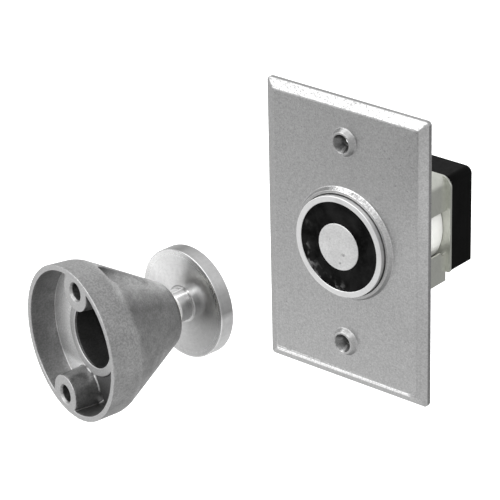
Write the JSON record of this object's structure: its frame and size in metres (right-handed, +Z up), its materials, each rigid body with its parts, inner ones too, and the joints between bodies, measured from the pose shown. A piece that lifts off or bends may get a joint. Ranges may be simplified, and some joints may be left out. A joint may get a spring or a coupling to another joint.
{
  "type": "magnetic door holder",
  "caption": "Recessed wall electromagnet in a bevelled rectangular plate, with a conical door-mounted armature whose round catch plate swivels on a ball.",
  "frame": {"origin": "centre between the two wall screws, on the plane of the wall plate's back edge and the frame's ears, which is the wall's face", "axes": "+Y into the wall along the magnet's axis, -Y into the room, +Z up, +X to the right seen from the room"},
  "size_m": [0.0923, 0.1809, 0.1174],
  "materials": {
    "satin_steel": "fine blasted satin, bright ground edges",
    "pole_steel": "ground and plated",
    "black_resin": "cast resin, semi-gloss",
    "bobbin_plastic": "natural moulded",
    "copper_wire": "enamelled copper winding",
    "lead_insulation": "extruded insulation",
    "white_film": "bare white film",
    "zinc_sheet": "zinc plated",
    "zinc_hardware": "zinc plated",
    "black_plastic": "moulded, semi-gloss",
    "black_rubber": "moulded rubber",
    "board_laminate": "lacquered laminate",
    "white_nylon": "moulded",
    "black_epoxy": "moulded",
    "blue_epoxy": "dipped",
    "green_plastic": "moulded",
    "cast_alloy": "as cast, lightly blasted",
    "turned_steel": "fine turned",
    "spring_steel": "oiled",
    "dark_steel": "blackened"
  },
  "bodies": {
    "wall_unit": {"wall_plate": "satin_steel", "pole_cup": "pole_steel", "core_pole": "pole_steel", "potting_ring": "black_resin", "coil_bobbin": "bobbin_plastic", "coil_winding": "copper_wire", "coil_leads": "lead_insulation", "label_wrap": "white_film", "magnet_frame": "zinc_sheet", "bridge_plate": "zinc_sheet", "plate_fixing_screws": "zinc_hardware", "centre_screw": "zinc_hardware", "lock_washer": "zinc_hardware", "rear_cover": "black_plastic", "cover_screws": "zinc_hardware", "cable_grommet": "black_rubber", "circuit_board": "board_laminate", "board_spacers": "white_nylon", "board_screws": "zinc_hardware", "bridge_rectifier": "black_epoxy", "surge_varistor": "blue_epoxy", "terminal_block": "green_plastic", "terminal_screws": "zinc_hardware"},
    "catch": {"catch_plate": "turned_steel", "swivel_ball": "turned_steel"},
    "cup": {"pressure_cup": "white_nylon"},
    "housing": {"armature_housing": "cast_alloy", "nose_bush": "white_nylon", "disc_spring": "spring_steel", "retaining_plug": "dark_steel"}
  },
  "joints": [
    {"name": "door_swing", "type": "hinge", "parent": "wall_unit", "child": "catch", "pos_m": [-0.60639, 0.09395, 0], "axis": [0, 0, 1], "range_deg": [-83.7, 6.3]},
    {"name": "plate_tilt", "type": "hinge", "parent": "catch", "child": "cup", "pos_m": [-0.01733, -0.09639, 0], "axis": [0, 0, 1], "range_deg": [-0.9, 19.1]},
    {"name": "swivel_turn", "type": "hinge", "parent": "cup", "child": "housing", "pos_m": [-0.01733, -0.09639, 0], "axis": [0.2656, 0.9641, 0], "continuous": true}
  ]
}
